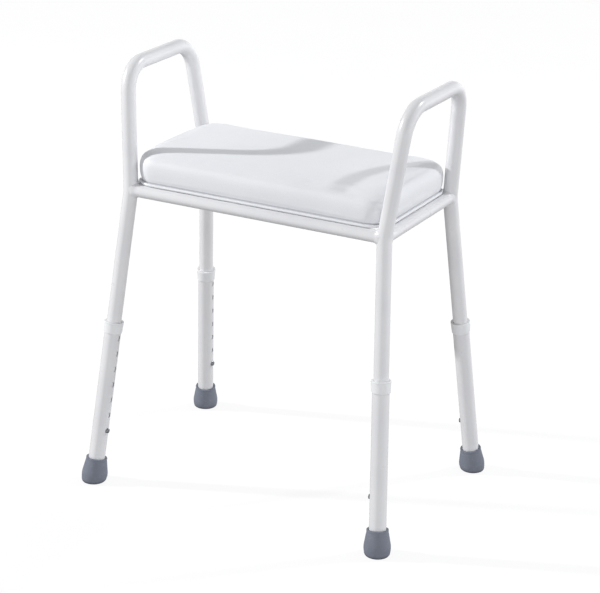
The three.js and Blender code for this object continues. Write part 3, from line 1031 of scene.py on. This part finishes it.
def make_board():
    build = Build()
    edge = 0.8 * MM
    inset = BASE_INSET + 1.5 * MM
    heights = [(edge, BOARD_FOOT), (0, BOARD_FOOT + edge), (0, BOARD_TOP - edge), (edge, BOARD_TOP)]
    build.loft([seat_loop(build, inset + pull, z) for pull, z in heights])
    place(build, "seat_board", "seat_plywood", "frame")


def over_tab(point):
    """Whether a point under the seat lies where a tab presses on the cover."""
    margin = TAB["presses"]
    for name in CORNERS:
        low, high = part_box(f"seat_tab_{name}")
        if all(low[i] - margin < point[i] < high[i] + margin for i in (0, 1)):
            return True
    return False


def make_flap():
    """The cover's edge, turned under the board and pleated round the corners."""
    build = Build()
    top, count = BOARD_FOOT - 0.1 * MM, FLAP["per_corner"]
    # Inset from the seat's widest line, and the share of the pleats' depth there.
    widths = [
        (BASE_INSET + 0.2 * MM, 0), (BASE_INSET + 6 * MM, 0.4),
        (BASE_INSET + 13 * MM, 0.8), (BASE_INSET + FLAP["width"], 1),
    ]
    sides = ([], [])
    for level, side in enumerate(sides):
        for inset, depth in widths:
            points = seat_outline(inset, top, count)
            for k, point in enumerate(points):
                turn = math.pi * (k % (count + 1))
                fold = math.sin(turn / count) * abs(math.sin(turn / FLAP["pleat"]))
                uneven = noise.noise(point * 60) * FLAP["uneven"] * depth
                point.z -= level * FLAP["thick"] + fold * depth * FLAP["fold"]
                point.x -= math.copysign(uneven, point.x)
            side.append(build.loop(points))
    loops = sides[0] + sides[1][::-1]
    build.loft([*loops, loops[0]], caps=False)
    piece = build.object("seat_cover_turned_edge", LOOKS["seat_vinyl"], 50)
    settle(piece, "seat_vinyl", "frame")


def make_staples():
    build = Build()
    route = seat_route(BASE_INSET + STAPLE["inset"], BOARD_FOOT - STAPLE["drop"], 0, 1 * MM)
    count = int(route.length / STAPLE["pitch"])
    for number in range(count):
        point, tangent = route.at(route.length * (number + 0.5) / count)
        if over_tab(point):
            continue
        tilt = Matrix.Rotation(0.35 * noise.noise(point * 90), 3, "Z")
        along = tilt @ tangent
        half = along * STAPLE["width"] / 2
        leg = UP * STAPLE["leg"]
        bar = [point - half + leg, point - half, point + half, point + half + leg]
        wire = Route(bar, [STAPLE["bend"]] * 2)
        side = UP.cross(along).normalized()
        stations = wire.stations(4 * MM, 0.4 * MM)
        frames = carried_frames(wire, stations, side)
        build.loft([circle_loop(build, p, t, n, STAPLE["wire"] / 2, 8) for p, t, n, _ in frames])
    piece = build.object("seat_staples", LOOKS["zinc_steel"], 60)
    settle(piece, "zinc_steel", "frame")


def make_tabs():
    """Each tab has a weld bead along its rail."""
    for name, (_, y) in CORNERS.items():
        softened_copy(f"seat_tab_{name}", "frame_coating", TAB["edge"])
        make_tab_weld(name, y, *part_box(f"seat_tab_{name}"))


def make_tab_weld(name, y, low, high):
    middle_x = (low[0] + high[0]) / 2
    foot = Vector((middle_x, y * (POST_Y - WELD["from_post"]), low[2] + WELD["above_foot"]))
    half = (high[0] - low[0]) / 2 - WELD["end"]
    build = Build()
    loops = []
    for k in range(WELD["steps"] + 1):
        u = k / WELD["steps"]
        taper = min(1.0, 9 * u, 9 * (1 - u))
        ripple = 1 + 0.1 * math.sin(k * 1.55) + 0.12 * noise.noise(Vector((k * 0.4, foot.x * 40, y)))
        radius = WELD["radius"] * math.sqrt(max(taper, 0.02)) * ripple
        loops.append(circle_loop(build, foot + RIGHT * half * (2 * u - 1), RIGHT, UP, radius, 14))
    build.loft(loops)
    piece = build.object(f"seat_tab_{name}_weld", LOOKS["frame_coating"], 70)
    settle(piece, "frame_coating", "frame")


def cross_recess():
    """A tapered cross that cuts the screwdriver's recess into a head facing down."""
    build = Build()
    for turn in (0, math.pi / 2):
        spin = Matrix.Rotation(turn, 3, "Z")
        loops = []
        for z, long_side, short_side in ((-1.0, 2.5, 0.62), (1.5, 1.2, 0.36)):
            corners = [(long_side * x, short_side * y) for x, y in ((1, 1), (-1, 1), (-1, -1), (1, -1))]
            loops.append(build.loop(spin @ Vector((x * MM, y * MM, z * MM)) for x, y in corners))
        build.loft(loops)
    return build.object("cross_cutter", LOOKS["zinc_steel"])


def make_screws():
    low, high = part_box("tab_screw_fl_1")
    length = high[2] - low[2]
    head, height, shank, pitch = (SCREW[key] for key in ("head", "height", "shank", "pitch"))
    outline = [
        (0, 0), (head * 0.75, 0.05 * MM, 1.0 * MM), (head, height * 0.65, 1.0 * MM),
        (head, height, 0.2 * MM), (shank, height, 0.2 * MM),
    ]
    z = height + 0.8 * MM
    while z < length - 2.5 * MM:
        outline += [(shank, z, 0.05 * MM), (SCREW["root"], z + pitch / 2, 0.05 * MM)]
        z += pitch
    outline += [(shank * 0.9, length - 2 * MM, 0.3 * MM), (0, length)]
    build = Build()
    revolve(build, softened(outline, 0.3 * MM, 3), Vector((0, 0, 0)), UP, 32)
    pattern = build.object("screw_pattern", LOOKS["zinc_steel"])
    cutter = cross_recess()
    cut = pattern.modifiers.new("recess", "BOOLEAN")
    cut.operation = "DIFFERENCE"
    cut.object = cutter
    cut.use_self = True
    apply_modifiers(pattern)
    tidy_mesh(pattern.data, 38)
    dress(pattern, "zinc_steel")
    bpy.data.objects.remove(cutter)
    for name in CORNERS:
        for number in (1, 2):
            node = f"tab_screw_{name}_{number}"
            foot = middle(node)
            foot.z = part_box(node)[0][2]
            mesh = pattern.data.copy()
            spin = Matrix.Rotation(foot.x * 97 + foot.y * 41, 4, "Z")
            mesh.transform(Matrix.Translation(foot) @ spin)
            settle(new_object(f"{node}_finished", mesh), "zinc_steel", "frame", node)
    bpy.data.objects.remove(pattern)


# ---- camera, floor, lights

TARGET = Vector((0.1757, -0.2950, 0.4271))
CAMERA = {"azimuth": 27.85, "elevation": 20.53, "roll": 1.26, "distance": 2.895, "lens": 128.6}
KEY = {"azimuth": -70, "elevation": 27, "distance": 4.2, "size": 0.16, "power": 143}
RIM = {"azimuth": 137, "elevation": 39.5, "distance": 4.2, "size": 0.25, "power": 62}
LIT_POINT = Vector((0, 0, 0.45))
FLOOR = {"half": 14.0, "glow": 0.87}


def toward(azimuth, elevation):
    """Unit vector from the stool to something seen at that azimuth and elevation, in degrees."""
    a, e = math.radians(azimuth), math.radians(elevation)
    return Vector((math.sin(a) * math.cos(e), -math.cos(a) * math.cos(e), math.sin(e)))


def stand(name, data, target, view):
    """Puts a camera or a light where its view says, facing the target."""
    back = toward(view["azimuth"], view["elevation"])
    facing = (-back).to_track_quat("-Z", "Y").to_matrix().to_4x4()
    roll = Matrix.Rotation(math.radians(view.get("roll", 0)), 4, "Z")
    thing = new_object(name, data)
    thing.matrix_world = Matrix.Translation(target + back * view["distance"]) @ facing @ roll
    return thing


def make_camera():
    data = bpy.data.cameras.new("camera")
    data.lens = CAMERA["lens"]
    data.sensor_width = 36.0
    data.clip_end = 50.0
    bpy.context.scene.camera = stand("camera", data, TARGET, CAMERA)


def make_light(name, light, colour):
    data = bpy.data.lights.new(name, "AREA")
    data.shape = "DISK"
    data.size = light["size"]
    data.energy = light["power"]
    data.color = colour
    stand(name, data, LIT_POINT, light)


def make_stage():
    build = Build()
    half = FLOOR["half"]
    corners = [(-half, -half), (half, -half), (half, half), (-half, half)]
    build.faces.append(tuple(build.loop(Vector((x, y, 0)) for x, y in corners)))
    look = Look("floor")
    colour = look.mix(look.noise(2.0), (0.12, 0.12, 0.12), (0.114, 0.114, 0.115))
    rough = look.spread(look.noise(5.0), 0.3, 0.7, 0.75, 0.85)
    look.finish(colour, rough, look.relief(look.noise(300.0), 0.03, 0.0002))
    look.shader.inputs["Emission Color"].default_value = (1, 1, 1, 1)
    look.shader.inputs["Emission Strength"].default_value = FLOOR["glow"]
    floor = build.object("floor", look.material)
    floor.visible_diffuse = False
    floor.visible_glossy = False


# Brightness of the studio by height, from straight down (0) over the horizon (0.5) to straight up (1),
# on the left and on the right of the view.
STUDIO = [
    (0.0, 0.23, 0.01), (0.35, 1.0, 0.72), (0.5, 1.32, 1.64),
    (0.62, 0.8, 0.82), (0.78, 0.5, 0.66), (1.0, 0.13, 0.22),
]
STUDIO_TINT = (0.995, 1.0, 1.012)


def studio_side(tree, height, column):
    ramp = tree.nodes.new("ShaderNodeValToRGB")
    tree.links.new(height, ramp.inputs["Fac"])
    stops = ramp.color_ramp.elements
    while len(stops) < len(STUDIO):
        stops.new(0.5)
    for stop, row in zip(stops, STUDIO):
        stop.position = row[0]
        stop.color = (*(row[column] * tint for tint in STUDIO_TINT), 1.0)
    return ramp.outputs["Color"]


def make_studio():
    world = bpy.data.worlds.new("studio")
    world.use_nodes = True
    tree = world.node_tree
    background = tree.nodes["Background"].inputs
    direction = tree.nodes.new("ShaderNodeTexCoord").outputs["Generated"]
    split = tree.nodes.new("ShaderNodeSeparateXYZ")
    tree.links.new(direction, split.inputs["Vector"])
    height = map_range(tree, split.outputs["Z"], (-1.0, 1.0, 0.0, 1.0))

    def facing(azimuth, limits):
        """A value that runs between limits as the direction turns to that azimuth."""
        dot = tree.nodes.new("ShaderNodeVectorMath")
        dot.operation = "DOT_PRODUCT"
        dot.inputs[1].default_value = toward(azimuth, 0)
        tree.links.new(direction, dot.inputs[0])
        return map_range(tree, dot.outputs["Value"], limits)

    sides = [studio_side(tree, height, column) for column in (1, 2)]
    to_right = facing(CAMERA["azimuth"] + 90, (-0.7, 0.7, 0.0, 1.0))
    tree.links.new(mix_colours(tree, to_right, *sides), background["Color"])
    # A black flag stands on the left, a little behind the stool.
    flag = facing(CAMERA["azimuth"] - 120, (0.3, 0.95, 1.0, 0.25))
    tree.links.new(flag, background["Strength"])
    bpy.context.scene.world = world
    make_light("key", KEY, (1, 1, 1))
    make_light("rim", RIM, (0.96, 0.98, 1.0))
    bpy.context.scene.view_settings.view_transform = "Standard"


# ---- everything

make_camera()
make_stage()
make_studio()
make_hoops()
make_rails()
for leg in LEGS.values():
    make_leg(leg)
    make_collar(leg)
    make_tip(leg)
    make_washer(leg)
    make_button(leg)
    make_spring(leg)
make_cover()
make_foam()
make_piping()
make_board()
make_flap()
make_staples()
make_tabs()
make_screws()
